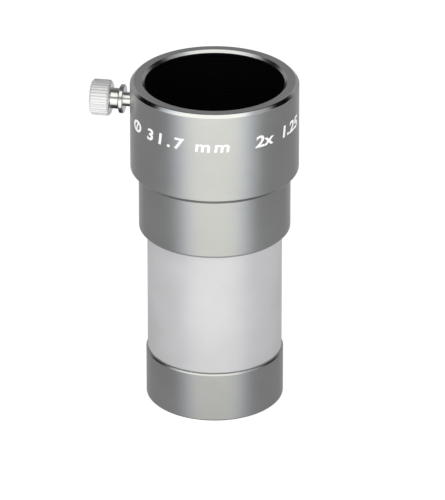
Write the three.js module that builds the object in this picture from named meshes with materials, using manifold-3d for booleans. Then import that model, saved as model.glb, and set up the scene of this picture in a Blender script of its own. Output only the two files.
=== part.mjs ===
// Barlow lens for 1.25-inch telescope eyepieces.
// A black-lined eyepiece holder with one clamping thumbscrew screws onto a stepped collar. The collar
// carries the barrel that slides into the focuser, and a cell with the negative lens pair screws into
// the barrel's lower end. Units are millimetres and +Z runs along the optical axis, towards the eye.
// Heights are measured up from the collar's lower shoulder, the face that stops on the focuser.

import * as THREE from 'three';
import { mergeVertices } from 'three/addons/utils/BufferGeometryUtils.js';
import Module from 'manifold-3d';

const wasm = await Module();
wasm.setup();

// ---------- driving dimensions ----------
const SHOULDER_Z = 2.25;           // height of the shoulder above the origin, the assembly's centroid
const AROUND = 48;                 // facets round the big turned parts
const AROUND_SCREW = 24;           // facets round the thumbscrew
const THREAD_GAP = 0.08;           // radial clearance where a thread turns
const FIT_GAP = 0.03;              // radial clearance where a part is pressed or bonded in
const WASHER_T = 0.25;             // thickness of the two washers
const WASHER_RECESS = 0.4;         // how far a washer's rim sits inside the tube's wall

const SOCKET_R = 31.8 / 2;         // bore that takes a 31.75 mm eyepiece barrel
const NOSEPIECE_R = 31.7 / 2;      // largest radius that enters a 1.25-inch focuser

const HOLDER_R = 19.3;
const HOLDER_TOP = 36.9;
const HOLDER_TOP_CHAMFER = 0.8;
const HOLDER_FOOT_CHAMFER = 1.0;
const LIP_CHAMFER = 0.68;
const LIP_H = 0.9;                 // height of metal above the black liner
const LINER_T = 0.55;
const LINER_BOTTOM = 19.6;

const COLLAR_R = 17.4;
const COLLAR_TOP = 14.25;
const COLLAR_CHAMFER = 0.6;
const HOLDER_SPIGOT_R = 16.6;      // male thread on the collar, inside the holder
const HOLDER_SPIGOT_H = 4.5;
const SOCKET_FLOOR = 8.0;          // ledge that stops a long eyepiece barrel
const FLOOR_T = 1.5;

const BARREL_R = 15.5;
const BARREL_BORE_R = 14.35;
const BARREL_BOTTOM = -30.25;
const BARREL_FOOT_CHAMFER = 0.15;
const BARREL_INSERT_H = 6.4;       // length of barrel screwed up into the collar

const BAFFLE_HOLE_R = 10.5;
const BAFFLE_T = 0.8;
const BAFFLE_HEIGHTS = { upper_baffle: 2.0, lower_baffle: -14.0 };

const CELL_BOTTOM = -42.5;
const CELL_THREAD_R = 28.5 / 2;    // the standard filter thread, male above and female below
const CELL_SPIGOT_H = 4.2;
const CELL_TOP_CHAMFER = 0.3;
const CELL_FOOT_CHAMFER = 0.3;
const FILTER_THREAD_H = 4.05;
const THREAD_LEAD = 0.3;
const LENS_SEAT_R = 13.0;
const LENS_SEAT_T = 1.0;
const APERTURE_R = 11.5;

const FRONT_EDGE_T = 5.2;          // edge thickness of the front element
const REAR_EDGE_T = 2.6;
const SPACER_T = 0.3;
const FRONT_OUTER_CURVE = 40;      // radii of curvature, front to back
const FRONT_INNER_CURVE = 30;
const REAR_INNER_CURVE = 30.8;
const REAR_OUTER_CURVE = 80;
const RETAINER_H = 2.0;
const SPANNER_SLOT_W = 1.2;
const SPANNER_SLOT_DEPTH = 1.2;

// The thumbscrew points along -X. Its own lengths are distances from the optical axis.
const SCREW_DEPTH = 6.45;          // below the holder's top face
const STUD_R = 2.0;                // M4 thread
const STUD_INNER = 17.2;
const STUD_OUTER = 26.5;
const SHANK_R = 1.65;              // plain shank outside the thread, down to the root diameter
const SHANK_INNER = 19.6;
const TIP_R = 1.6;
const TIP_INNER = 16.0;
const TIP_STEM_R = 0.9;
const TIP_STEM_L = 1.0;
const FLANGE_R = 3.35;
const FLANGE_INNER = 20.8;
const FLANGE_OUTER = 21.9;
const NECK_R = 2.4;
const HEAD_R = 4.15;
const HEAD_INNER = 23.9;
const HEAD_OUTER = 28.5;
const HEAD_CHAMFER = 0.5;
const RIBS = 36;
const RIB_DEPTH = 0.15;
const END_GAP = 0.3;               // axial room at the bottom of a blind hole
const CUT_MARGIN = 2;              // how far a cutting tool reaches past the faces it opens

// ---------- materials ----------
const finish = (color, roughness, metalness) =>
  new THREE.MeshStandardMaterial({ color, roughness, metalness });

const GUNMETAL = finish(0x8c8f8e, 0.38, 0.9);
const SATIN_SILVER = finish(0xd0cfd6, 0.42, 0.85);
const BLACK_ANODISED = finish(0x0b0b0c, 0.7, 0.3);
const BLACK_FIBRE = finish(0x151515, 0.8, 0.0);
const BRIGHT_NICKEL = finish(0xe2e3e4, 0.15, 1.0);
const BLACK_NYLON = finish(0x1c1c1d, 0.55, 0.0);
const COATED_GLASS = new THREE.MeshStandardMaterial({
  color: 0xa9c4c8,
  roughness: 0.05,
  metalness: 0.0,
  transparent: true,
  opacity: 0.35,
});

// ---------- solid helpers ----------
function signedArea(points) {
  return points.reduce((sum, [r, z], i) => {
    const [nextR, nextZ] = points[(i + 1) % points.length];
    return sum + (r * nextZ - nextR * z) / 2;
  }, 0);
}

// Turns an outline of [radius, height] points about Z. A ring's outline closes on itself, and a
// disc's outline starts and ends on the axis.
function turned(outline, around = AROUND) {
  const points = signedArea(outline) < 0 ? [...outline].reverse() : [...outline];
  const onAxis = outline[0][0] === 0;
  if (!onAxis) points.push(points[0]);
  const profile = points.map(([r, z]) => new THREE.Vector2(r, z));
  return new THREE.LatheGeometry(profile, around).rotateX(Math.PI / 2);
}

// A plain ring between two radii and two heights.
function ring(innerR, outerR, low, high, around = AROUND) {
  return turned([[innerR, low], [outerR, low], [outerR, high], [innerR, high]], around);
}

// A solid rod along Z between two heights.
function rod(radius, low, high, around = AROUND_SCREW) {
  return new THREE.CylinderGeometry(radius, radius, high - low, around)
    .rotateX(Math.PI / 2)
    .translate(0, 0, (low + high) / 2);
}

function toSolid(geometry) {
  const bare = geometry.clone();
  bare.deleteAttribute('normal');
  bare.deleteAttribute('uv');
  const merged = mergeVertices(bare);
  return new wasm.Manifold(new wasm.Mesh({
    numProp: 3,
    vertProperties: Float32Array.from(merged.attributes.position.array),
    triVerts: Uint32Array.from(merged.index.array),
  }));
}

function toGeometry(solid) {
  const mesh = solid.getMesh();
  const geometry = new THREE.BufferGeometry();
  geometry.setAttribute('position', new THREE.BufferAttribute(mesh.vertProperties, 3));
  geometry.setIndex(new THREE.BufferAttribute(mesh.triVerts, 1));
  geometry.computeVertexNormals();
  return geometry;
}

function cut(geometry, ...tools) {
  const left = tools.reduce((solid, tool) => solid.subtract(toSolid(tool)), toSolid(geometry));
  return toGeometry(left);
}

function join(...geometries) {
  const [first, ...rest] = geometries.map(toSolid);
  return toGeometry(rest.reduce((solid, other) => solid.add(other), first));
}

function common(geometry, other) {
  return toGeometry(toSolid(geometry).intersect(toSolid(other)));
}

function piece(name, geometry, material) {
  const mesh = new THREE.Mesh(geometry, material);
  mesh.name = name;
  return mesh;
}

// A round hole along -X at the thumbscrew's height, from inside the socket to outside the holder.
function radialHole(radius) {
  return rod(radius, SOCKET_R - CUT_MARGIN, HOLDER_R + CUT_MARGIN)
    .rotateY(-Math.PI / 2)
    .translate(0, 0, HOLDER_TOP - SCREW_DEPTH);
}

// ---------- eyepiece holder ----------
function eyepieceHolder() {
  const foot = COLLAR_TOP + WASHER_T;
  const threadR = HOLDER_SPIGOT_R + THREAD_GAP;
  const linerR = SOCKET_R + LINER_T + FIT_GAP;
  const body = turned([
    [threadR, foot],
    [HOLDER_R - HOLDER_FOOT_CHAMFER, foot],
    [HOLDER_R, foot + HOLDER_FOOT_CHAMFER],
    [HOLDER_R, HOLDER_TOP - HOLDER_TOP_CHAMFER],
    [HOLDER_R - HOLDER_TOP_CHAMFER, HOLDER_TOP],
    [SOCKET_R + LIP_CHAMFER, HOLDER_TOP],
    [SOCKET_R, HOLDER_TOP - LIP_CHAMFER],
    [SOCKET_R, HOLDER_TOP - LIP_H],
    [linerR, HOLDER_TOP - LIP_H],
    [linerR, LINER_BOTTOM],
    [threadR, LINER_BOTTOM],
  ]);
  return cut(body, radialHole(STUD_R + THREAD_GAP));
}

function holderLiner() {
  const sleeve = ring(SOCKET_R, SOCKET_R + LINER_T, LINER_BOTTOM, HOLDER_TOP - LIP_H);
  return cut(sleeve, radialHole(STUD_R + THREAD_GAP));
}

function holderWasher() {
  const innerR = HOLDER_SPIGOT_R + THREAD_GAP;
  return ring(innerR, COLLAR_R - WASHER_RECESS, COLLAR_TOP, COLLAR_TOP + WASHER_T);
}

// ---------- collar and barrel ----------
function bodyCollar() {
  const spigotTop = COLLAR_TOP + HOLDER_SPIGOT_H;
  const barrelSeatR = BARREL_R + FIT_GAP;
  return turned([
    [barrelSeatR, 0],
    [COLLAR_R - COLLAR_CHAMFER, 0],
    [COLLAR_R, COLLAR_CHAMFER],
    [COLLAR_R, COLLAR_TOP],
    [HOLDER_SPIGOT_R, COLLAR_TOP],
    [HOLDER_SPIGOT_R, spigotTop - THREAD_LEAD],
    [HOLDER_SPIGOT_R - THREAD_LEAD, spigotTop],
    [SOCKET_R, spigotTop],
    [SOCKET_R, SOCKET_FLOOR],
    [BARREL_BORE_R, SOCKET_FLOOR],
    [BARREL_BORE_R, SOCKET_FLOOR - FLOOR_T],
    [barrelSeatR, SOCKET_FLOOR - FLOOR_T],
  ]);
}

function barrelTube() {
  return turned([
    [BARREL_BORE_R, BARREL_BOTTOM],
    [BARREL_R - BARREL_FOOT_CHAMFER, BARREL_BOTTOM],
    [BARREL_R, BARREL_BOTTOM + BARREL_FOOT_CHAMFER],
    [BARREL_R, BARREL_INSERT_H],
    [BARREL_BORE_R, BARREL_INSERT_H],
  ]);
}

// A glare stop with a knife edge at its hole.
function baffle(height) {
  const edgeR = BARREL_BORE_R - FIT_GAP;
  return turned([
    [BAFFLE_HOLE_R, height],
    [edgeR, height],
    [edgeR, height + BAFFLE_T],
    [BAFFLE_HOLE_R + BAFFLE_T, height + BAFFLE_T],
  ]);
}

// ---------- lens cell ----------
const CELL_TOP = BARREL_BOTTOM - WASHER_T;
const LENS_SEAT = CELL_BOTTOM + FILTER_THREAD_H + LENS_SEAT_T;
const SPIGOT_TOP = CELL_TOP + CELL_SPIGOT_H;

function cellWasher() {
  const innerR = CELL_THREAD_R + THREAD_GAP;
  return ring(innerR, BARREL_R - WASHER_RECESS, CELL_TOP, BARREL_BOTTOM);
}

function lensCell() {
  return turned([
    [CELL_THREAD_R + THREAD_LEAD, CELL_BOTTOM],
    [NOSEPIECE_R - CELL_FOOT_CHAMFER, CELL_BOTTOM],
    [NOSEPIECE_R, CELL_BOTTOM + CELL_FOOT_CHAMFER],
    [NOSEPIECE_R, CELL_TOP - CELL_TOP_CHAMFER],
    [NOSEPIECE_R - CELL_TOP_CHAMFER, CELL_TOP],
    [CELL_THREAD_R, CELL_TOP],
    [CELL_THREAD_R, SPIGOT_TOP - THREAD_LEAD],
    [CELL_THREAD_R - THREAD_LEAD, SPIGOT_TOP],
    [LENS_SEAT_R, SPIGOT_TOP],
    [LENS_SEAT_R, LENS_SEAT],
    [APERTURE_R, LENS_SEAT],
    [APERTURE_R, LENS_SEAT - LENS_SEAT_T],
    [CELL_THREAD_R, LENS_SEAT - LENS_SEAT_T],
    [CELL_THREAD_R, CELL_BOTTOM + THREAD_LEAD],
  ]);
}

// Points of one lens surface from the axis out to the aperture. A positive bulge rises at the
// middle by the cap height of its sphere, and a negative bulge sinks by it.
function lensSurface(curve, rim, bulge) {
  const steps = 5;
  const rimRise = Math.sqrt(curve ** 2 - APERTURE_R ** 2);
  return Array.from({ length: steps + 1 }, (_, i) => {
    const r = (APERTURE_R * i) / steps;
    return [r, rim + bulge * (Math.sqrt(curve ** 2 - r ** 2) - rimRise)];
  });
}

// A lens element with flat seats outside the aperture.
function lensElement(low, high, lowerSurface, upperSurface) {
  const edgeR = LENS_SEAT_R - FIT_GAP;
  return turned([
    ...lowerSurface,
    [edgeR, low],
    [edgeR, high],
    ...[...upperSurface].reverse(),
  ]);
}

const FRONT_TOP = LENS_SEAT + FRONT_EDGE_T;
const REAR_BOTTOM = FRONT_TOP + SPACER_T;
const REAR_TOP = REAR_BOTTOM + REAR_EDGE_T;

function frontElement() {
  return lensElement(
    LENS_SEAT,
    FRONT_TOP,
    lensSurface(FRONT_OUTER_CURVE, LENS_SEAT, 1),
    lensSurface(FRONT_INNER_CURVE, FRONT_TOP, -1),
  );
}

function rearElement() {
  return lensElement(
    REAR_BOTTOM,
    REAR_TOP,
    lensSurface(REAR_INNER_CURVE, REAR_BOTTOM, -1),
    lensSurface(REAR_OUTER_CURVE, REAR_TOP, -1),
  );
}

function lensSpacer() {
  return ring(APERTURE_R + FIT_GAP, LENS_SEAT_R - FIT_GAP, FRONT_TOP, REAR_BOTTOM);
}

// The ring that holds the lens pair down has a slot right across for a pin spanner.
function retainingRing() {
  const top = REAR_TOP + RETAINER_H;
  const body = ring(APERTURE_R, LENS_SEAT_R - FIT_GAP, REAR_TOP, top);
  const slotLength = 2 * (LENS_SEAT_R + CUT_MARGIN);
  const slot = new THREE.BoxGeometry(slotLength, SPANNER_SLOT_W, 2 * SPANNER_SLOT_DEPTH);
  return cut(body, slot.translate(0, 0, top));
}

// ---------- thumbscrew, drawn upright with Z as the distance from the optical axis ----------
function ribOutline() {
  const outline = new THREE.Shape();
  const root = HEAD_R - RIB_DEPTH;
  const corners = [[0.0, root], [0.25, root], [0.4, HEAD_R], [0.85, HEAD_R]];
  for (let rib = 0; rib < RIBS; rib += 1) {
    for (const [share, radius] of corners) {
      const angle = ((rib + share) / RIBS) * 2 * Math.PI;
      const place = [radius * Math.cos(angle), radius * Math.sin(angle)];
      if (rib === 0 && share === 0) outline.moveTo(...place);
      else outline.lineTo(...place);
    }
  }
  outline.closePath();
  return outline;
}

// A disc that is wide enough to keep the ribs whole and chamfers their ends.
function chamferedBlank() {
  const clearR = HEAD_R + RIB_DEPTH;
  const slope = HEAD_CHAMFER + RIB_DEPTH;
  return turned([
    [0, HEAD_INNER],
    [clearR - slope, HEAD_INNER],
    [clearR, HEAD_INNER + slope],
    [clearR, HEAD_OUTER - slope],
    [clearR - slope, HEAD_OUTER],
    [0, HEAD_OUTER],
  ]);
}

function thumbscrewKnob() {
  const depth = HEAD_OUTER - HEAD_INNER;
  const ribs = new THREE.ExtrudeGeometry(ribOutline(), { depth, bevelEnabled: false });
  const head = common(ribs.translate(0, 0, HEAD_INNER), chamferedBlank());
  const neck = rod(NECK_R, FLANGE_INNER + END_GAP, HEAD_INNER + END_GAP);
  const flange = rod(FLANGE_R, FLANGE_INNER, FLANGE_OUTER);
  const shankHole = rod(SHANK_R + FIT_GAP, FLANGE_INNER - END_GAP, STUD_OUTER + END_GAP);
  return cut(join(head, neck, flange), shankHole);
}

function thumbscrewStud() {
  const stemHoleR = TIP_STEM_R + THREAD_GAP;
  const stemHoleEnd = STUD_INNER + TIP_STEM_L + END_GAP;
  return turned([
    [0, stemHoleEnd],
    [stemHoleR, stemHoleEnd],
    [stemHoleR, STUD_INNER],
    [STUD_R, STUD_INNER],
    [STUD_R, SHANK_INNER],
    [SHANK_R, SHANK_INNER],
    [SHANK_R, STUD_OUTER],
    [0, STUD_OUTER],
  ], AROUND_SCREW);
}

function thumbscrewTip() {
  return turned([
    [0, TIP_INNER],
    [TIP_R, TIP_INNER],
    [TIP_R, STUD_INNER],
    [TIP_STEM_R, STUD_INNER],
    [TIP_STEM_R, STUD_INNER + TIP_STEM_L],
    [0, STUD_INNER + TIP_STEM_L],
  ], AROUND_SCREW);
}

// ---------- assembly ----------
const thumbscrew = new THREE.Group();
thumbscrew.position.z = HOLDER_TOP - SCREW_DEPTH;
thumbscrew.rotation.y = -Math.PI / 2;
thumbscrew.add(
  piece('thumbscrew_knob', thumbscrewKnob(), BRIGHT_NICKEL),
  piece('thumbscrew_stud', thumbscrewStud(), BRIGHT_NICKEL),
  piece('thumbscrew_tip', thumbscrewTip(), BLACK_NYLON),
);

const holderGroup = new THREE.Group();
holderGroup.add(
  piece('eyepiece_holder', eyepieceHolder(), GUNMETAL),
  piece('holder_liner', holderLiner(), BLACK_ANODISED),
  piece('holder_washer', holderWasher(), BLACK_FIBRE),
  thumbscrew,
);

const barrelGroup = new THREE.Group();
barrelGroup.add(
  piece('body_collar', bodyCollar(), GUNMETAL),
  piece('barrel_tube', barrelTube(), SATIN_SILVER),
);
for (const [name, height] of Object.entries(BAFFLE_HEIGHTS)) {
  barrelGroup.add(piece(name, baffle(height), BLACK_ANODISED));
}

const cellGroup = new THREE.Group();
cellGroup.add(
  piece('cell_washer', cellWasher(), SATIN_SILVER),
  piece('lens_cell', lensCell(), GUNMETAL),
  piece('front_element', frontElement(), COATED_GLASS),
  piece('lens_spacer', lensSpacer(), BLACK_ANODISED),
  piece('rear_element', rearElement(), COATED_GLASS),
  piece('retaining_ring', retainingRing(), BLACK_ANODISED),
);

const barlowLens = new THREE.Group();
barlowLens.position.z = SHOULDER_Z;
barlowLens.add(holderGroup, barrelGroup, cellGroup);

export default barlowLens;
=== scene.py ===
"""Looks for the barlow lens.

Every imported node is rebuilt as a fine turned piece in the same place. An outline of radii and
heights in millimetres, taken from the frame's boxes, is spun round the optical axis or round the
thumbscrew's axis. Screw threads are true right-hand helices, and materials are procedural.
"""

import math
from collections import namedtuple

import bmesh
import bpy
from mathutils import Matrix, Vector


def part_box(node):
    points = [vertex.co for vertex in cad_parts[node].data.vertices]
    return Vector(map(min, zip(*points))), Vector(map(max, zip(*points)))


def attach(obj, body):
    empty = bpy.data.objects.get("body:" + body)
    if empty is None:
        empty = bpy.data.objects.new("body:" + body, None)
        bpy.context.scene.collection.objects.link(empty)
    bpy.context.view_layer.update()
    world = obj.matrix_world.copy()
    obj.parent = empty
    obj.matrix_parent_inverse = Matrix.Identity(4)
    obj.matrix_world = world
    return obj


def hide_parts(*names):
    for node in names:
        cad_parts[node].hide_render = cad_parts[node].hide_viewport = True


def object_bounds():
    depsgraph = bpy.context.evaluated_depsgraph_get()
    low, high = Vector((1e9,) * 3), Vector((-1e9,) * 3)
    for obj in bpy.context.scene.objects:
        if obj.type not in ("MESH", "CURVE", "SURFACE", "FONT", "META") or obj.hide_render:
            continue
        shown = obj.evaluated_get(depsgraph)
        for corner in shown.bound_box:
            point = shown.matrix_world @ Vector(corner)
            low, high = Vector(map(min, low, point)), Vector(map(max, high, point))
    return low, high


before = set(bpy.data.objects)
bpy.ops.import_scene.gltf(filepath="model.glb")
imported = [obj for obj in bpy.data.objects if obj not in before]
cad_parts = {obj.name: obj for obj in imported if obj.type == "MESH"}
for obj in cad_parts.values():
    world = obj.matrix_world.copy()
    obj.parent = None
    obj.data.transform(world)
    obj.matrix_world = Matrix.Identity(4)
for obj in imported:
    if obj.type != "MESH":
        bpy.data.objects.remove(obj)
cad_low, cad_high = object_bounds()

MM = 0.001
DEGREE = math.radians(1)
TURN = 2 * math.pi
COLUMNS = 192                  # facets round the big pieces
HEAD_COLUMNS = 240             # facets round the thumbscrew's ribbed head
STUD_COLUMNS = 72              # facets round the stud and its tip
HOLE_COLUMNS = 64              # facets round the hole for the stud
WELD = 1e-6                    # points closer than this become one, in metres
SUPPORT = 0.07                 # flat stretch kept beside a rounded edge, in millimetres
EDGE_SHARE = 0.45              # most of an outline's edge that the rounding of one end may take
ARC_STEPS = 4                  # facets across a rounded edge
SHARP_ANGLE = 28 * DEGREE

# A corner of an outline: radius, height, edge rounding, and how much (0 to 1) the face that leaves
# it has a finish of its own, diamond cut on the big rings and rolled ribs on the thumbscrew. A
# stretch of thread runs between two heights and stands out from its root radius.
Corner = namedtuple("Corner", "r z round cut", defaults=(0.05, 0.0))
Thread = namedtuple("Thread", "root start end pitch depth")
Row = namedtuple("Row", "r z worn cut", defaults=(0.0, 0.0))


# ---------- sizes, in millimetres ----------
def span(node):
    """Outer radius, lowest and highest height of a piece on the optical axis."""
    low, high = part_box(node)
    return high.y / MM, low.z / MM, high.z / MM


def screw_span(node):
    """Radius, inner and outer distance from the optical axis of a thumbscrew piece."""
    low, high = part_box(node)
    return high.y / MM, -high.x / MM, -low.x / MM


HOLDER_R, HOLDER_FOOT, HOLDER_TOP = span("eyepiece_holder")
LINER_R, LINER_FOOT, LINER_TOP = span("holder_liner")
COLLAR_R, SHOULDER, COLLAR_SPIGOT_TOP = span("body_collar")
BARREL_R, BARREL_FOOT, BARREL_TOP = span("barrel_tube")
CELL_R, CELL_FOOT, CELL_SPIGOT_TOP = span("lens_cell")
COLLAR_TOP = span("holder_washer")[1]
CELL_TOP = span("cell_washer")[1]
LENS_R, LENS_SEAT, FRONT_TOP = span("front_element")
STUD_R, STUD_INNER, STUD_OUTER = screw_span("thumbscrew_stud")
HEAD_R, FLANGE_INNER, HEAD_OUTER = screw_span("thumbscrew_knob")
TIP_R, TIP_INNER, TIP_OUTER = screw_span("thumbscrew_tip")
SCREW_Z = sum(corner.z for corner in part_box("thumbscrew_stud")) / 2 / MM

FIT_GAP = 0.03                 # clearance between pieces that sit in each other
TURN_GAP = 0.08                # clearance round a thread or a swivel
THREAD_SHARE = 0.54            # depth of a thread as a share of its pitch
THREAD_LEAD = 0.3              # plain stretch before a female thread, and its countersink
SPIGOT_LEAD_LOW = 0.25         # plain stretches at the ends of a male thread
SPIGOT_LEAD_HIGH = 0.15
SOCKET_R = 15.9
HOLDER_SPIGOT_R = 16.6
HOLDER_PITCH = 0.75
TOP_CHAMFER = 0.8
LIP_CHAMFER = 0.68
FOOT_CHAMFER = 1.0
SOCKET_FLOOR = SHOULDER + 8.0
FLOOR_T = 1.5
COLLAR_CHAMFER = 0.6
BARREL_BORE_R = 14.35
BARREL_THREAD_H = 5.0
FILTER_R = 14.25
FILTER_PITCH = 0.6
BARREL_FOOT_CHAMFER = 0.15
CELL_TOP_CHAMFER = 0.3
CELL_FOOT_CHAMFER = 0.3
SEAT_T = 1.0
APERTURE_R = 11.5
BAFFLE_HOLE_R = 10.5
SPANNER_SLOT = 1.2
FRONT_CURVES = (40, 30)        # radii of the front element's two hollow faces
REAR_CURVES = (30.8, 80)       # radii of the rear element's bulging and hollow faces
STUD_PITCH = 0.7
STUD_LEAD = 0.1
END_GAP = 0.3                  # room behind the tip's stem
TIP_STEM_R = 0.9
SHANK_R = 1.65
SHANK_INNER = 19.6
FLANGE_R = 3.35
FLANGE_T = 1.1
NECK_R = 2.4
HEAD_T = 4.6
HEAD_CHAMFER = 0.5
RIBS = 36
RIB_DEPTH = 0.15

# The insides are blackened against glare: above each height, out to the radius beside it. The
# margins take in the countersink of the filter thread, the edge of the socket and the barrel's
# thread, and the black starts below the feet.
BELOW_FOOT = 1.0
COUNTERSINK_MARGIN = 0.35
SOCKET_MARGIN = 0.1
BARREL_MARGIN = 0.5
GUNMETAL_INSIDE = (
    (CELL_FOOT - BELOW_FOOT, FILTER_R + COUNTERSINK_MARGIN),
    (CELL_TOP, LENS_R + 2 * FIT_GAP),
    (SOCKET_FLOOR - FLOOR_T, SOCKET_R + SOCKET_MARGIN),
)
SILVER_INSIDE = ((BARREL_FOOT - BELOW_FOOT, BARREL_BORE_R + BARREL_MARGIN),)


# ---------- outlines ----------
def ends(item):
    """The first and last point of a corner or a thread."""
    if isinstance(item, Thread):
        return Vector((item.root, item.start)), Vector((item.root, item.end))
    return Vector((item.r, item.z)), Vector((item.r, item.z))


def rounded(before, corner, after):
    """The rows that round one corner, with a flat stretch beside the arc where there is room."""
    here = Vector((corner.r, corner.z))
    if corner.round <= 0 or corner.r == 0:
        return [Row(*here)]
    back = before - here
    ahead = after - here
    half_turn = back.angle(ahead) / 2
    room_back = EDGE_SHARE * back.length
    room_ahead = EDGE_SHARE * ahead.length
    reach = min(corner.round / math.tan(half_turn), room_back, room_ahead)
    centre_distance = reach / math.cos(half_turn)
    centre = here + (back.normalized() + ahead.normalized()).normalized() * centre_distance
    start = here + back.normalized() * reach
    end = here + ahead.normalized() * reach
    rows = []
    if reach + SUPPORT < room_back:
        rows.append(Row(*(start + back.normalized() * SUPPORT)))
    radius = (start - centre).length
    for i in range(ARC_STEPS + 1):
        spoke = (start - centre).slerp(end - centre, i / ARC_STEPS)
        rows.append(Row(*(centre + spoke * radius), 1.0))
    if reach + SUPPORT < room_ahead:
        rows.append(Row(*(end + ahead.normalized() * SUPPORT)))
    return rows


# Shares of the pitch at which a 60 degree thread's root starts and ends and its crest starts and
# ends, each with its rise from the root.
THREAD_PROFILE = ((0.0, 0), (0.25, 0), (0.5625, 1), (0.6875, 1))
THREAD_RUNOUT = 0.6            # share of the pitch over which a thread fades in and out


def thread_rows(thread, angle):
    """One thread's rows at an angle: root, flank, crest and flank of each turn, climbing with
    the angle. The crests count as half worn."""
    low, high = sorted((thread.start, thread.end))
    runout = THREAD_RUNOUT * thread.pitch
    rows = []
    for turn in range(math.ceil((high - low) / thread.pitch) + 2):
        for share, rise in THREAD_PROFILE:
            z = low + (turn + share + angle / TURN - 1) * thread.pitch
            z = min(max(z, low), high)
            rise *= min(1.0, (z - low) / runout, (high - z) / runout)
            rows.append(Row(thread.root + thread.depth * rise, z, 0.5 * rise))
    return rows if thread.start < thread.end else rows[::-1]


def rows_of(outline):
    """A function that gives every row of an outline at an angle round the axis."""
    stretches = []
    for i, item in enumerate(outline):
        if isinstance(item, Thread):
            stretches.append(item)
            continue
        previous = outline[i - 1]
        following = outline[(i + 1) % len(outline)]
        rows = rounded(ends(previous)[1], item, ends(following)[0])
        middle = len(rows) / 2
        cut_before = previous.cut if isinstance(previous, Corner) else 0.0
        cut = [cut_before if k < middle else item.cut for k in range(len(rows))]
        stretches.append([row._replace(cut=share) for row, share in zip(rows, cut)])

    def at(angle):
        rows = []
        for stretch in stretches:
            rows += thread_rows(stretch, angle) if isinstance(stretch, Thread) else stretch
        return rows

    return at


# ---------- mesh building ----------
UPRIGHT = Matrix.Identity(4)
# Z, as the distance from the optical axis, becomes -X at the thumbscrew's height.
ALONG_SCREW = Matrix.Translation((0, 0, SCREW_Z * MM)) @ Matrix.Rotation(-math.pi / 2, 4, "Y")


def link(name, mesh):
    piece = bpy.data.objects.new(name, mesh)
    bpy.context.scene.collection.objects.link(piece)
    return piece


def skin(bm, rings, closed):
    """Faces between each ring of points and the next. A closed outline also joins its two ends."""
    count = len(rings[0])
    pairs = [(k, k + 1) for k in range(count - 1)]
    if closed:
        pairs.append((count - 1, 0))
    for left, right in zip(rings, rings[1:]):
        for low, high in pairs:
            bm.faces.new((left[low], right[low], right[high], left[high]))


def turned(name, outline, columns=COLUMNS, limit=None, place=UPRIGHT):
    """Spins an outline round Z. limit(angle) is the largest radius allowed at an angle."""
    rows_at = rows_of(outline)
    bm = bmesh.new()
    worn = bm.verts.layers.float.new("worn")
    cut = bm.verts.layers.float.new("cut")
    rings = []
    for i in range(columns + 1):
        angle = TURN * i / columns
        ring = []
        for row in rows_at(angle):
            r = min(row.r, limit(angle)) if limit else row.r
            point = Vector((r * math.cos(angle), r * math.sin(angle), row.z)) * MM
            vert = bm.verts.new(place @ point)
            vert[worn] = row.worn
            vert[cut] = row.cut
            ring.append(vert)
        rings.append(ring)
    starts_on_axis = rows_at(0)[0].r == 0
    skin(bm, rings, closed=not starts_on_axis)
    bmesh.ops.remove_doubles(bm, verts=bm.verts, dist=WELD)
    bmesh.ops.recalc_face_normals(bm, faces=bm.faces)
    mesh = bpy.data.meshes.new(name)
    bm.to_mesh(mesh)
    bm.free()
    return link(name, mesh)


def smooth(piece):
    piece.data.shade_smooth()
    piece.data.set_sharp_from_angle(angle=SHARP_ANGLE)
    return piece


def cut_away(piece, tool):
    modifier = piece.modifiers.new("cut", "BOOLEAN")
    modifier.operation = "DIFFERENCE"
    modifier.solver = "EXACT"
    modifier.object = tool
    depsgraph = bpy.context.evaluated_depsgraph_get()
    mesh = bpy.data.meshes.new_from_object(piece.evaluated_get(depsgraph))
    piece.modifiers.clear()
    piece.data = mesh
    bpy.data.objects.remove(tool)
    return piece


def screw_hole():
    """The tool for the radial hole, with a small countersink at the holder's wall."""
    hole_r = STUD_R + TURN_GAP
    sink = 0.3
    past_bore = 2.0
    inner = SOCKET_R - past_bore
    return turned("hole", [
        Corner(0, inner),
        Corner(hole_r, inner, 0),
        Corner(hole_r, HOLDER_R - sink, 0),
        Corner(hole_r + 2 * sink, HOLDER_R + sink, 0),
        Corner(0, HOLDER_R + sink),
    ], columns=HOLE_COLUMNS, place=ALONG_SCREW)


def plain_ring(name, node, inner_r):
    """A flat ring that fills its node's box."""
    outer_r, low, high = span(node)
    return smooth(turned(name, [
        Corner(inner_r, low),
        Corner(outer_r, low),
        Corner(outer_r, high),
        Corner(inner_r, high),
    ]))


# ---------- holder ----------
def holder_shell():
    bore_r = HOLDER_SPIGOT_R + TURN_GAP
    liner_seat_r = LINER_R + FIT_GAP
    depth = HOLDER_PITCH * THREAD_SHARE
    thread_top = LINER_FOOT - THREAD_LEAD
    body = turned("holder_shell", [
        Corner(bore_r, HOLDER_FOOT),
        Corner(HOLDER_R - FOOT_CHAMFER, HOLDER_FOOT, 0.15),
        Corner(HOLDER_R, HOLDER_FOOT + FOOT_CHAMFER, 0.4),
        Corner(HOLDER_R, HOLDER_TOP - TOP_CHAMFER, 0.3, 1.0),
        Corner(HOLDER_R - TOP_CHAMFER, HOLDER_TOP, 0.4),
        Corner(SOCKET_R + LIP_CHAMFER, HOLDER_TOP, 0.04, 0.6),
        Corner(SOCKET_R, HOLDER_TOP - LIP_CHAMFER, 0.04),
        Corner(SOCKET_R, LINER_TOP),
        Corner(liner_seat_r, LINER_TOP),
        Corner(liner_seat_r, LINER_FOOT),
        Corner(bore_r, LINER_FOOT),
        Thread(bore_r, thread_top, HOLDER_FOOT + THREAD_LEAD, HOLDER_PITCH, depth),
    ])
    return smooth(cut_away(body, screw_hole()))


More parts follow.
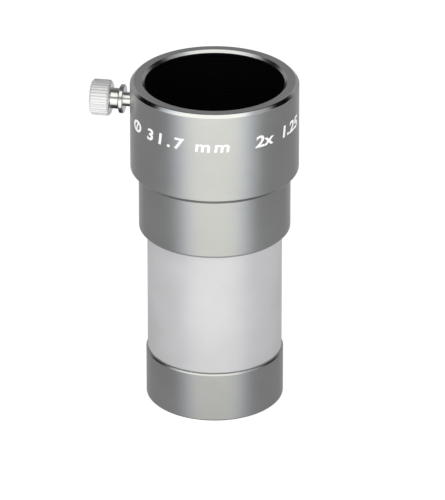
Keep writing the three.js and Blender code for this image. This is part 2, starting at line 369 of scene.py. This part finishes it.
def socket_sleeve():
    """The black sleeve in the socket, finely grooved to stop glare."""
    pitch = 0.6
    depth = 0.18
    margin = 0.6
    top = LINER_TOP - margin
    count = int((top - margin - LINER_FOOT) / pitch)
    grooves = []
    for k in range(count):
        z = top - k * pitch
        grooves.append(Corner(SOCKET_R, z, 0.02))
        grooves.append(Corner(SOCKET_R + depth, z - pitch / 2, 0.02))
    body = turned("socket_sleeve", [
        Corner(SOCKET_R, LINER_FOOT),
        Corner(LINER_R, LINER_FOOT),
        Corner(LINER_R, LINER_TOP),
        Corner(SOCKET_R, LINER_TOP),
        *grooves,
        Corner(SOCKET_R, top - count * pitch, 0.02),
    ])
    return smooth(cut_away(body, screw_hole()))


# ---------- collar and barrel ----------
def collar():
    depth = HOLDER_PITCH * THREAD_SHARE
    root = HOLDER_SPIGOT_R - depth
    seat_r = BARREL_R + FIT_GAP
    thread_low = COLLAR_TOP + SPIGOT_LEAD_LOW
    thread_high = COLLAR_SPIGOT_TOP - SPIGOT_LEAD_HIGH
    return smooth(turned("collar", [
        Corner(seat_r, SHOULDER),
        Corner(COLLAR_R - COLLAR_CHAMFER, SHOULDER, 0.1),
        Corner(COLLAR_R, SHOULDER + COLLAR_CHAMFER, 0.2),
        Corner(COLLAR_R, COLLAR_TOP, 0.08),
        Corner(root, COLLAR_TOP),
        Thread(root, thread_low, thread_high, HOLDER_PITCH, depth),
        Corner(root, COLLAR_SPIGOT_TOP),
        Corner(SOCKET_R, COLLAR_SPIGOT_TOP),
        Corner(SOCKET_R, SOCKET_FLOOR, 0.1),
        Corner(BARREL_BORE_R, SOCKET_FLOOR, 0.1),
        Corner(BARREL_BORE_R, SOCKET_FLOOR - FLOOR_T),
        Corner(seat_r, SOCKET_FLOOR - FLOOR_T),
    ]))


def barrel():
    depth = FILTER_PITCH * THREAD_SHARE
    thread_top = BARREL_FOOT + BARREL_THREAD_H
    return smooth(turned("barrel", [
        Corner(BARREL_BORE_R, BARREL_FOOT),
        Corner(BARREL_R - BARREL_FOOT_CHAMFER, BARREL_FOOT, 0.03),
        Corner(BARREL_R, BARREL_FOOT + BARREL_FOOT_CHAMFER, 0.05),
        Corner(BARREL_R, BARREL_TOP, 0.1),
        Corner(BARREL_BORE_R, BARREL_TOP, 0.1),
        Thread(BARREL_BORE_R, thread_top, BARREL_FOOT + THREAD_LEAD, FILTER_PITCH, depth),
    ]))


def glare_stop(name, node):
    """A black ring whose hole comes to a knife edge."""
    outer_r, low, high = span(node)
    return smooth(turned(name, [
        Corner(BAFFLE_HOLE_R, low, 0.02),
        Corner(outer_r, low),
        Corner(outer_r, high),
        Corner(BAFFLE_HOLE_R + high - low, high, 0.1),
    ]))


# ---------- lens cell ----------
def cell():
    depth = FILTER_PITCH * THREAD_SHARE
    root = FILTER_R - depth
    seat_r = LENS_R + FIT_GAP
    ledge = LENS_SEAT - SEAT_T
    thread_low = CELL_TOP + SPIGOT_LEAD_LOW
    thread_high = CELL_SPIGOT_TOP - SPIGOT_LEAD_HIGH
    return smooth(turned("cell", [
        Corner(FILTER_R + THREAD_LEAD, CELL_FOOT),
        Corner(CELL_R - CELL_FOOT_CHAMFER, CELL_FOOT, 0.1),
        Corner(CELL_R, CELL_FOOT + CELL_FOOT_CHAMFER, 0.2),
        Corner(CELL_R, CELL_TOP - CELL_TOP_CHAMFER, 0.03, 0.55),
        Corner(CELL_R - CELL_TOP_CHAMFER, CELL_TOP, 0.05),
        Corner(root, CELL_TOP),
        Thread(root, thread_low, thread_high, FILTER_PITCH, depth),
        Corner(root, CELL_SPIGOT_TOP),
        Corner(seat_r, CELL_SPIGOT_TOP),
        Corner(seat_r, LENS_SEAT),
        Corner(APERTURE_R, LENS_SEAT),
        Corner(APERTURE_R, ledge, 0.1),
        Corner(FILTER_R, ledge),
        Thread(FILTER_R, ledge - THREAD_LEAD, CELL_FOOT + 2 * THREAD_LEAD, FILTER_PITCH, depth),
        Corner(FILTER_R, CELL_FOOT + THREAD_LEAD),
    ]))


def lens_face(curve, rim, bulge):
    """Corners across one face, from the axis out. Bulge is 1 if it rises in the middle, -1 if it
    sinks."""
    steps = 24
    rim_rise = math.sqrt(curve ** 2 - APERTURE_R ** 2)
    corners = []
    for i in range(steps + 1):
        r = APERTURE_R * i / steps
        rise = math.sqrt(curve ** 2 - r ** 2) - rim_rise
        corners.append(Corner(r, rim + bulge * rise, 0))
    return corners


def lens_element(name, low, high, lower_face, upper_face):
    return smooth(turned(name, [
        *lower_face,
        Corner(LENS_R, low, 0.15),
        Corner(LENS_R, high, 0.15),
        *upper_face[::-1],
    ]))


def front_glass():
    lower = lens_face(FRONT_CURVES[0], LENS_SEAT, 1)
    upper = lens_face(FRONT_CURVES[1], FRONT_TOP, -1)
    return lens_element("front_glass", LENS_SEAT, FRONT_TOP, lower, upper)


def rear_glass():
    low = span("lens_spacer")[2]
    high = span("retaining_ring")[1]
    lower = lens_face(REAR_CURVES[0], low, -1)
    upper = lens_face(REAR_CURVES[1], high, -1)
    return lens_element("rear_glass", low, high, lower, upper)


def retainer():
    """The ring that holds the lens pair, with a slot right across for a pin spanner."""
    outer_r, low, high = span("retaining_ring")
    slot_length = 3 * outer_r
    slot_depth = SPANNER_SLOT
    bevel = 0.4
    body = turned("retainer", [
        Corner(APERTURE_R, low),
        Corner(outer_r, low),
        Corner(outer_r, high, 0.12),
        Corner(APERTURE_R + bevel, high, 0.08),
        Corner(APERTURE_R, high - bevel, 0.08),
    ])
    bm = bmesh.new()
    bmesh.ops.create_cube(bm, size=1)
    size = Matrix.Diagonal((slot_length * MM, SPANNER_SLOT * MM, 2 * slot_depth * MM, 1))
    bm.transform(Matrix.Translation((0, 0, high * MM)) @ size)
    slot = bpy.data.meshes.new("slot")
    bm.to_mesh(slot)
    bm.free()
    return smooth(cut_away(body, link("slot", slot)))


# ---------- thumbscrew ----------
def rib_limit(angle):
    """The largest radius of the ribbed head: flat-topped ribs with rounded valleys."""
    flat_share = 0.35
    valley_power = 1.3
    share = abs((angle * RIBS / TURN) % 1.0 - 0.5) * 2
    valley = max(0.0, (share - flat_share) / (1 - flat_share))
    return HEAD_R - RIB_DEPTH * valley ** valley_power


def head_rims(head_inner):
    """The head's two chamfers in small steps, so that the ribs can cut into them."""
    steps = 4
    inner_rim = []
    outer_rim = []
    for k in range(steps + 1):
        slope = HEAD_CHAMFER * k / steps
        inner_rim.append(Corner(HEAD_R - HEAD_CHAMFER + slope, head_inner + slope, 0, 1.0))
        outer_rim.append(Corner(HEAD_R - slope, HEAD_OUTER - HEAD_CHAMFER + slope, 0, 1.0))
    return inner_rim + outer_rim


def knob():
    head_inner = HEAD_OUTER - HEAD_T
    flange_outer = FLANGE_INNER + FLANGE_T
    edge = 0.2
    fillet = 0.3
    bore_r = SHANK_R + FIT_GAP
    rim_w = 1.2
    dish_r = HEAD_R - rim_w
    dish = 0.2
    return smooth(turned("knob", [
        Corner(0, STUD_OUTER + FIT_GAP),
        Corner(bore_r, STUD_OUTER + FIT_GAP, 0),
        Corner(bore_r, FLANGE_INNER),
        Corner(FLANGE_R - edge, FLANGE_INNER),
        Corner(FLANGE_R, FLANGE_INNER + edge),
        Corner(FLANGE_R, flange_outer - edge),
        Corner(FLANGE_R - edge, flange_outer),
        Corner(NECK_R, flange_outer, fillet),
        Corner(NECK_R, head_inner, fillet),
        *head_rims(head_inner),
        Corner(dish_r, HEAD_OUTER, 0.08),
        Corner(dish_r - dish, HEAD_OUTER - dish, 0.08),
        Corner(0, HEAD_OUTER - dish),
    ], columns=HEAD_COLUMNS, limit=rib_limit, place=ALONG_SCREW))


def stud():
    depth = STUD_PITCH * THREAD_SHARE
    root = STUD_R - depth
    socket_r = TIP_STEM_R + TURN_GAP
    socket_end = TIP_OUTER + END_GAP
    return smooth(turned("stud", [
        Corner(0, socket_end),
        Corner(socket_r, socket_end, 0.1),
        Corner(socket_r, STUD_INNER),
        Corner(root, STUD_INNER),
        Thread(root, STUD_INNER + STUD_LEAD, SHANK_INNER, STUD_PITCH, depth),
        Corner(SHANK_R, SHANK_INNER, 0),
        Corner(SHANK_R, STUD_OUTER),
        Corner(0, STUD_OUTER),
    ], columns=STUD_COLUMNS, place=ALONG_SCREW))


def tip():
    return smooth(turned("tip", [
        Corner(0, TIP_INNER),
        Corner(TIP_R, TIP_INNER, 0.3),
        Corner(TIP_R, STUD_INNER, 0.1),
        Corner(TIP_STEM_R, STUD_INNER),
        Corner(TIP_STEM_R, TIP_OUTER, 0.2),
        Corner(0, TIP_OUTER),
    ], columns=STUD_COLUMNS, place=ALONG_SCREW))


# ---------- markings ----------
CAMERA_AZIMUTH = 10 * DEGREE
FACING = CAMERA_AZIMUTH - math.pi / 2      # angle round Z of the side that faces the camera
MARK_H = 2.9
MARK_Z = HOLDER_TOP - 7.7
MARK_T = 0.03
MARK_STRETCH = 1.25            # width of the letters against their natural width
MARK_SLICE = 0.4               # widest flat facet of a letter, so that it follows the curve
# In the font's own units: the letters' slant, how much bolder they are, their depth to each side of
# the middle, which only tells front from back, and the distance at which points become one.
FONT_SLANT = 0.1
FONT_BOLD = 0.025
FONT_DEPTH = 0.01
FONT_WELD = 1e-5

# Name, words, degrees from the side that faces the camera, letter spacing. A ring and a slash at
# the same place make the sign for a diameter.
MARKINGS = (
    ("diameter_ring", "O", -65, 1.0),
    ("diameter_slash", "/", -65, 1.0),
    ("size_marking", "31.7 mm", -21, 1.3),
    ("power_marking", "2x  1.25", 52, 1.0),
)


def letters(name, words, spacing):
    """A flat solid of the words as a mesh, in the font's own units."""
    curve = bpy.data.curves.new(name, "FONT")
    curve.body = words
    curve.shear = FONT_SLANT
    curve.offset = FONT_BOLD
    curve.space_character = spacing
    curve.extrude = FONT_DEPTH
    text = link(name, curve)
    depsgraph = bpy.context.evaluated_depsgraph_get()
    mesh = bpy.data.meshes.new_from_object(text.evaluated_get(depsgraph))
    bpy.data.objects.remove(text)
    return mesh


def slice_upright(bm, first, last, width):
    """Adds upright cuts, so that the facets are narrow enough to be bent."""
    for k in range(1, int((last - first) / width) + 1):
        everything = bm.verts[:] + bm.edges[:] + bm.faces[:]
        place = Vector((first + k * width, 0, 0))
        bmesh.ops.bisect_plane(bm, geom=everything, plane_co=place, plane_no=(1, 0, 0), dist=WELD)


def marking(name, words, from_facing, spacing):
    """Raised white paint, wrapped round the holder and centred on an angle."""
    mesh = letters(name, words, spacing)
    bm = bmesh.new()
    bm.from_mesh(mesh)
    bmesh.ops.remove_doubles(bm, verts=bm.verts, dist=FONT_WELD)
    xs = [vert.co.x for vert in bm.verts]
    ys = [vert.co.y for vert in bm.verts]
    scale = MARK_H / (max(ys) - min(ys))
    wide = scale * MARK_STRETCH
    middle = Vector(((min(xs) + max(xs)) / 2, (min(ys) + max(ys)) / 2, 0))
    slice_upright(bm, min(xs), max(xs), MARK_SLICE / wide)
    for vert in bm.verts:
        across, up, _ = vert.co - middle
        angle = FACING + from_facing + across * wide / HOLDER_R
        r = HOLDER_R + (MARK_T if vert.co.z > 0 else -MARK_T)
        vert.co = Vector((r * math.cos(angle), r * math.sin(angle), MARK_Z + up * scale)) * MM
    bmesh.ops.recalc_face_normals(bm, faces=bm.faces)
    bm.to_mesh(mesh)
    bm.free()
    return link(name, mesh)


# ---------- materials ----------
class Graph:
    """A short way to write a node tree."""

    def __init__(self, owner):
        owner.use_nodes = True
        self.tree = owner.node_tree
        self.tree.nodes.clear()

    def node(self, kind, inputs=None, **settings):
        node = self.tree.nodes.new("ShaderNode" + kind)
        for key, value in settings.items():
            setattr(node, key, value)
        for key, value in (inputs or {}).items():
            if isinstance(value, bpy.types.NodeSocket):
                self.tree.links.new(value, node.inputs[key])
            else:
                node.inputs[key].default_value = value
        return node

    def math(self, operation, a, b=0.0):
        return self.node("Math", {0: a, 1: b}, operation=operation).outputs[0]

    def plus(self, a, b):
        return self.math("ADD", a, b)

    def minus(self, a, b):
        return self.math("SUBTRACT", a, b)

    def times(self, a, b):
        return self.math("MULTIPLY", a, b)

    def larger(self, a, b):
        return self.math("MAXIMUM", a, b)

    def vector(self, x, y, z):
        return self.node("CombineXYZ", {0: x, 1: y, 2: z}).outputs[0]

    def noise(self, vector, scale, detail, roughness=0.5):
        settings = {"Vector": vector, "Scale": scale, "Detail": detail, "Roughness": roughness}
        return self.node("TexNoise", settings).outputs["Fac"]

    def ease(self, value, low, high, out_low=0.0, out_high=1.0):
        """Maps value from low..high to out_low..out_high with soft ends."""
        inputs = {"Value": value, 1: low, 2: high, 3: out_low, 4: out_high}
        return self.node("MapRange", inputs, interpolation_type="SMOOTHSTEP").outputs[0]

    def mix(self, share, a, b):
        return self.node("Mix", {0: share, 6: a, 7: b}, data_type="RGBA").outputs[2]

    def blend(self, share, a, b):
        return self.node("Mix", {0: share, 2: a, 3: b}).outputs[0]

    def bump(self, height, distance, strength=1.0, normal=None):
        inputs = {"Height": height, "Distance": distance, "Strength": strength}
        if normal is not None:
            inputs["Normal"] = normal
        return self.node("Bump", inputs).outputs[0]


def grey(value, tint=(1, 1, 1)):
    return tuple(value * share for share in tint) + (1.0,)


def surface(graph, inputs):
    """Ends a material's node tree with the surface that these inputs describe."""
    shader = graph.node("BsdfPrincipled", inputs)
    graph.node("OutputMaterial", {"Surface": shader.outputs[0]})


# Scales of the noise patterns, per metre.
TOOL_MARKS = 130
BLOTCHES = 90
SCUFFS = 1400
SPECKS = 9000
# Heights of the relief, in metres.
TOOL_MARK_H = 0.000004
SPECK_H = 0.0000015

LATHE_PITCH = 60               # how much finer the tool marks are along the axis than round it
WORN_EDGES = 0.2               # how far a worn edge goes towards the bare metal
WORN_ROUGH = 0.24
DIAMOND_ROUGH = 0.13
BARE_METAL = grey(0.86, (1.0, 1.0, 0.99))
ANISOTROPY = 0.5
BLACK_INSIDE = 0.006


def blackened(graph, around, height, steps):
    """1 where a point is nearer the axis than the radius that holds at its height."""
    limit = 0.0
    for start, r in steps:
        above = graph.math("GREATER_THAN", height, start * MM)
        limit = graph.blend(above, limit, r * MM)
    return graph.math("LESS_THAN", around, limit)


def lathe_rings(graph, where):
    """Height, distance from the axis, and a noise drawn out into fine rings round the axis."""
    x, y, z = graph.node("SeparateXYZ", {0: where}).outputs
    length = graph.node("VectorMath", {0: graph.vector(x, y, 0.0)}, operation="LENGTH")
    around = length.outputs["Value"]
    lay = graph.times(graph.plus(z, around), LATHE_PITCH)
    return z, around, graph.noise(graph.vector(x, y, lay), TOOL_MARKS, 4, 0.6)


def edge_wear(graph, where):
    """How far the worn edges show bare metal, in scuffs."""
    worn = graph.node("Attribute", attribute_name="worn").outputs["Fac"]
    scuff = graph.ease(graph.noise(where, SCUFFS, 4), 0.42, 0.62)
    return graph.times(graph.times(worn, scuff), WORN_EDGES)


def turned_metal(name, colour, rough, inside_steps, metallic=1.0, lines=1.0):
    """Satin metal off the lathe: rings of fine tool marks, soft blotches, worn edges and diamond
    cuts. Lines is the strength of the tool marks."""
    material = bpy.data.materials.new(name)
    graph = Graph(material)
    where = graph.node("TexCoord").outputs["Object"]
    height, around, rings = lathe_rings(graph, where)
    inside = blackened(graph, around, height, inside_steps)
    blotch = graph.noise(where, BLOTCHES, 3)
    wear = edge_wear(graph, where)
    cut = graph.node("Attribute", attribute_name="cut").outputs["Fac"]
    tone = graph.ease(blotch, 0.3, 0.7, 0.965, 1.035)
    base = graph.node("VectorMath", {0: colour[:3], "Scale": tone}, operation="SCALE").outputs[0]
    shown = graph.mix(graph.larger(wear, cut), base, BARE_METAL)
    streaks = graph.ease(rings, 0.25, 0.75, -0.05 * lines, 0.05 * lines)
    clouds = graph.ease(blotch, 0.3, 0.7, -0.02, 0.03)
    satin = graph.plus(graph.plus(streaks, rough), clouds)
    polished = graph.blend(cut, graph.blend(wear, satin, WORN_ROUGH), DIAMOND_ROUGH)
    relief = graph.bump(rings, TOOL_MARK_H * lines)
    relief = graph.bump(graph.noise(where, SPECKS, 2), SPECK_H, 0.6, relief)
    surface(graph, {
        "Base Color": graph.mix(inside, shown, grey(BLACK_INSIDE)),
        "Metallic": graph.blend(inside, metallic, 0.0),
        "Roughness": graph.blend(inside, polished, 0.6),
        "Specular IOR Level": graph.blend(inside, 0.5, 0.2),
        "Anisotropic": graph.blend(cut, ANISOTROPY, 0.0),
        "Anisotropic Rotation": 0.25,
        "Tangent": graph.node("Tangent", direction_type="RADIAL", axis="Z").outputs[0],
        "Normal": relief,
    })
    return material


def black_finish(name, value, rough, grain, grain_depth, sheen=0.35):
    """Matte black: anodising, fibre or nylon, told apart by grain and sheen. Grain is the scale of
    its noise per metre, and its depth is in metres."""
    material = bpy.data.materials.new(name)
    graph = Graph(material)
    where = graph.node("TexCoord").outputs["Object"]
    cloud = graph.noise(where, grain, 5, 0.65)
    dust = graph.ease(graph.noise(where, 600, 3), 0.55, 0.75, 0.0, 0.3)
    dusty = 1.8 * value
    uneven = 0.06
    surface(graph, {
        "Base Color": graph.mix(dust, grey(value), grey(dusty)),
        "Roughness": graph.ease(cloud, 0.3, 0.7, rough - uneven, rough + uneven),
        "Specular IOR Level": sheen,
        "Normal": graph.bump(cloud, grain_depth),
    })
    return material


def bright_nickel():
    """Nickel plate with rings off the lathe and finger smears. The ribs are paler and duller."""
    material = bpy.data.materials.new("bright_nickel")
    graph = Graph(material)
    where = graph.node("TexCoord").outputs["Object"]
    x, y, z = graph.node("SeparateXYZ", {0: where}).outputs
    ring_fineness = 30
    rings = graph.noise(graph.vector(graph.times(x, ring_fineness), y, z), 250, 3)
    smear = graph.noise(where, 700, 4)
    satin = graph.ease(graph.plus(rings, smear), 0.7, 1.3, 0.08, 0.17)
    ribbed = graph.node("Attribute", attribute_name="cut").outputs["Fac"]
    clean = grey(0.9, (1, 0.995, 0.98))
    smeared = grey(0.84, (1, 0.99, 0.97))
    plate = graph.mix(graph.ease(smear, 0.35, 0.65), clean, smeared)
    surface(graph, {
        "Base Color": graph.mix(ribbed, plate, grey(0.95)),
        "Metallic": graph.blend(ribbed, 1.0, 0.28),
        "Roughness": graph.blend(ribbed, satin, 0.36),
        "Normal": graph.bump(rings, 0.000001),
    })
    return material


def coated_glass():
    """Clear crown glass with a thin coating against reflections, in nanometres, and some dust."""
    material = bpy.data.materials.new("coated_glass")
    graph = Graph(material)
    where = graph.node("TexCoord").outputs["Object"]
    dust = graph.ease(graph.noise(where, 2500, 3), 0.6, 0.8, 0.0, 0.03)
    surface(graph, {
        "Base Color": grey(0.985, (0.97, 1.0, 0.99)),
        "Roughness": dust,
        "IOR": 1.52,
        "Transmission Weight": 1.0,
        "Thin Film Thickness": 320.0,
        "Thin Film IOR": 1.38,
    })
    return material


def white_paint():
    """Slightly patchy paint, lifted by a little glow of its own."""
    material = bpy.data.materials.new("white_paint")
    graph = Graph(material)
    where = graph.node("TexCoord").outputs["Object"]
    patchy = graph.noise(where, 3000, 3)
    surface(graph, {
        "Base Color": graph.mix(graph.ease(patchy, 0.35, 0.6), grey(0.86), grey(0.95)),
        "Roughness": 0.45,
        "Emission Color": grey(1.0),
        "Emission Strength": 0.15,
        "Normal": graph.bump(patchy, 0.000004),
    })
    return material


# ---------- studio ----------
CAMERA_ELEVATION = 26.5 * DEGREE
CAMERA_DISTANCE = 1.5          # metres
CAMERA_LENS = 469              # millimetres
CAMERA_REACH = 30              # metres
AIM_RIGHT = 1.8                # the camera aims this far right of the axis
AIM_Z = SHOULDER - 6.3
FLOOR_R = 6.0                  # metres
FLOOR_SIDES = 96


def camera():
    a, e = CAMERA_AZIMUTH, CAMERA_ELEVATION
    back = Vector((math.sin(a) * math.cos(e), -math.cos(a) * math.cos(e), math.sin(e)))
    right = Vector((math.cos(a), math.sin(a), 0))
    aim = (right * AIM_RIGHT + Vector((0, 0, AIM_Z))) * MM
    data = bpy.data.cameras.new("camera")
    data.lens = CAMERA_LENS
    data.clip_end = CAMERA_REACH
    made = link("camera", data)
    made.location = aim + back * CAMERA_DISTANCE
    made.rotation_euler = back.to_track_quat("Z", "Y").to_euler()
    bpy.context.scene.camera = made


AMBIENT = 0.29
PEAK = 1.09
WARM = (1.0, 1.0, 0.94)        # tint of the lights
COOL = (0.95, 0.99, 1.06)      # tint of their half-lit edges
TABLE_NEAR = 0.58              # share of the table's light mirrored right beside the object
TABLE_GAIN = 1.8               # the same at TABLE_FAR metres and beyond
TABLE_FAR = 0.45
FLOOR_TONE = 0.4               # what the floor gives back of the light that reaches it
FLOOR_GLOW = 0.9               # its own glow as the camera sees it
FLOOR_BOUNCE = 0.98            # its own glow as matte things see it, times the nearness

# Where each light and each shade begins and where it is full. An angle is in degrees, off the
# front to either side or above the horizon. A reach is a part of a unit direction, towards the
# front or to the right.
TABLE_SIDES = (72, 26)
TABLE_TOP = (22, 14)
OVERHEAD_FOOT = (34, 44)
OVERHEAD_REACH = (-0.15, 0.3)
OVERHEAD_DIM_REACH = (0.42, 0.6)
BEHIND_SIDES = (138, 160)
BEHIND_TOP = (-8, -16)
FLAG_FRONT = (92, 104)
FLAG_BACK = (136, 122)
FLAG_FOOT = (8, 16)
CEILING_REACH = (-0.05, -0.22)
CEILING_FOOT = (35, 50)
UNDERNEATH_TOP = (-42, -60)

OVERHEAD_DIM = 0.3             # what is left of the overhead light on the right
BEHIND_LEVEL = 0.32
CEILING_SHADE = 0.6
UNDERNEATH_SHADE = 0.9


def ramp(graph, angle, limits, level=1.0):
    """Rises softly from nothing to a level between two angles in degrees."""
    start, full = limits
    return graph.ease(angle, start * DEGREE, full * DEGREE, 0.0, level)


def studio_lights(graph, front, side, off_front, height):
    """A lit table in front, a box overhead that is dimmer on the right, and a weak light behind."""
    table = graph.times(ramp(graph, off_front, TABLE_SIDES), ramp(graph, height, TABLE_TOP))
    overhead = graph.times(ramp(graph, height, OVERHEAD_FOOT), graph.ease(front, *OVERHEAD_REACH))
    overhead = graph.times(overhead, graph.ease(side, *OVERHEAD_DIM_REACH, 1.0, OVERHEAD_DIM))
    behind = ramp(graph, height, BEHIND_TOP, BEHIND_LEVEL)
    behind = graph.times(ramp(graph, off_front, BEHIND_SIDES), behind)
    return graph.larger(graph.larger(table, overhead), behind)


def studio_shades(graph, front, off_front, height):
    """Dark flags at the sides, a dim ceiling behind the overhead light, and dark underneath."""
    flag = graph.times(ramp(graph, off_front, FLAG_FRONT), ramp(graph, off_front, FLAG_BACK))
    flag = graph.times(flag, ramp(graph, height, FLAG_FOOT))
    ceiling = graph.times(graph.ease(front, *CEILING_REACH), ramp(graph, height, CEILING_FOOT))
    underneath = ramp(graph, height, UNDERNEATH_TOP, UNDERNEATH_SHADE)
    return graph.larger(graph.larger(graph.times(ceiling, CEILING_SHADE), flag), underneath)


def studio(graph, way, nearness=1.0):
    """Brightness and tint of the studio seen along a direction. Nearness scales the lights and
    leaves the general dimness."""
    x, y, z = graph.node("SeparateXYZ", {0: way}).outputs
    across = math.cos(CAMERA_AZIMUTH)
    along = math.sin(CAMERA_AZIMUTH)
    front = graph.minus(graph.times(x, along), graph.times(y, across))
    side = graph.plus(graph.times(x, across), graph.times(y, along))
    off_front = graph.math("ARCTAN2", graph.math("ABSOLUTE", side), front)
    height = graph.math("ARCSINE", z)
    lit = studio_lights(graph, front, side, off_front, height)
    dark = studio_shades(graph, front, off_front, height)
    light = graph.times(graph.times(lit, nearness), PEAK - AMBIENT)
    level = graph.times(graph.plus(light, AMBIENT), graph.minus(1.0, dark))
    # This is 1 where a light is at half its strength and 0 where it is full or gone.
    half_lit = graph.times(graph.times(lit, 4.0), graph.minus(1.0, lit))
    tint = graph.mix(lit, grey(1.0), grey(1.0, WARM))
    return level, graph.mix(half_lit, tint, grey(1.0, COOL))


def studio_light():
    """The studio as the world's light. The camera itself sees plain white."""
    world = bpy.data.worlds.new("studio")
    bpy.context.scene.world = world
    graph = Graph(world)
    level, tint = studio(graph, graph.node("TexCoord").outputs["Generated"])
    pattern = graph.node("Background", {"Color": tint, "Strength": level})
    plain = graph.node("Background", {"Color": grey(1.0), "Strength": 1.0})
    seen = graph.node("LightPath").outputs["Is Camera Ray"]
    mixed = graph.node("MixShader", {0: seen, 1: pattern.outputs[0], 2: plain.outputs[0]})
    graph.node("OutputWorld", {"Surface": mixed.outputs[0]})


def table_top():
    """Pale and nearly shadowless. In the metal it mirrors as the lit table of the studio, and
    dimmer the nearer it is to the piece that mirrors it."""
    material = bpy.data.materials.new("floor")
    graph = Graph(material)
    incoming = graph.node("NewGeometry").outputs["Incoming"]
    away = graph.node("VectorMath", {0: incoming, "Scale": -1.0}, operation="SCALE").outputs[0]
    path = graph.node("LightPath").outputs
    far = {0: path["Ray Length"], 2: TABLE_FAR, 3: TABLE_NEAR, 4: TABLE_GAIN}
    nearness = graph.node("MapRange", far).outputs[0]
    level, tint = studio(graph, away, nearness)
    mirrored = graph.node("Emission", {"Color": tint, "Strength": level})
    matte = graph.node("BsdfDiffuse", {"Color": grey(FLOOR_TONE)})
    soft = graph.times(nearness, FLOOR_BOUNCE)
    strength = graph.blend(path["Is Camera Ray"], soft, FLOOR_GLOW)
    glow = graph.node("Emission", {"Color": grey(1.0), "Strength": strength})
    plain = graph.node("AddShader", {0: matte.outputs[0], 1: glow.outputs[0]})
    in_metal = path["Is Glossy Ray"]
    both = graph.node("MixShader", {0: in_metal, 1: plain.outputs[0], 2: mirrored.outputs[0]})
    graph.node("OutputMaterial", {"Surface": both.outputs[0]})
    return material


def floor():
    """A round table. The object stands on its cell, so the table goes down with the cell."""
    bm = bmesh.new()
    bmesh.ops.create_circle(bm, cap_ends=True, radius=FLOOR_R, segments=FLOOR_SIDES)
    bmesh.ops.translate(bm, verts=bm.verts, vec=(0, 0, cad_low.z))
    mesh = bpy.data.meshes.new("floor")
    bm.to_mesh(mesh)
    bm.free()
    mesh.materials.append(table_top())
    made = link("floor", mesh)
    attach(made, "cell_carrier")


# ---------- assembly ----------
def show(piece, body, material, node=None):
    piece.data.materials.clear()
    piece.data.materials.append(material)
    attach(piece, body)
    if node:
        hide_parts(node)


gunmetal_tone = grey(0.62, (0.99, 1.0, 0.99))
silver_tone = grey(0.87, (0.985, 0.978, 1.0))
gunmetal = turned_metal("gunmetal", gunmetal_tone, 0.36, GUNMETAL_INSIDE)
silver = turned_metal("satin_silver", silver_tone, 0.5, SILVER_INSIDE, metallic=0.42, lines=0.6)
black = black_finish("black_anodised", 0.0015, 0.75, grain=5000, grain_depth=0.000006, sheen=0.08)
fibre = black_finish("black_fibre", 0.012, 0.8, grain=2500, grain_depth=0.00002)
nylon = black_finish("black_nylon", 0.03, 0.5, grain=1500, grain_depth=0.000004)
nickel = bright_nickel()
glass = coated_glass()
paint = white_paint()

seal = plain_ring("holder_seal", "holder_washer", HOLDER_SPIGOT_R + TURN_GAP)
shim = plain_ring("cell_shim", "cell_washer", FILTER_R + TURN_GAP)
spacer = plain_ring("spacer_ring", "lens_spacer", APERTURE_R + FIT_GAP)

show(holder_shell(), "holder", gunmetal, "eyepiece_holder")
show(socket_sleeve(), "holder", black, "holder_liner")
show(seal, "holder_carrier", fibre, "holder_washer")
for name, words, degrees, spacing in MARKINGS:
    show(marking(name, words, degrees * DEGREE, spacing), "holder", paint)
show(collar(), "barrel", gunmetal, "body_collar")
show(barrel(), "barrel", silver, "barrel_tube")
show(glare_stop("upper_stop", "upper_baffle"), "barrel", black, "upper_baffle")
show(glare_stop("lower_stop", "lower_baffle"), "barrel", black, "lower_baffle")
show(shim, "cell_carrier", silver, "cell_washer")
show(cell(), "cell", gunmetal, "lens_cell")
show(front_glass(), "cell", glass, "front_element")
show(spacer, "cell", black, "lens_spacer")
show(rear_glass(), "cell", glass, "rear_element")
show(retainer(), "cell", black, "retaining_ring")
show(knob(), "thumbscrew", nickel, "thumbscrew_knob")
show(stud(), "thumbscrew", nickel, "thumbscrew_stud")
show(tip(), "screw_tip", nylon, "thumbscrew_tip")

camera()
studio_light()
floor()
bpy.context.scene.view_settings.view_transform = "Standard"
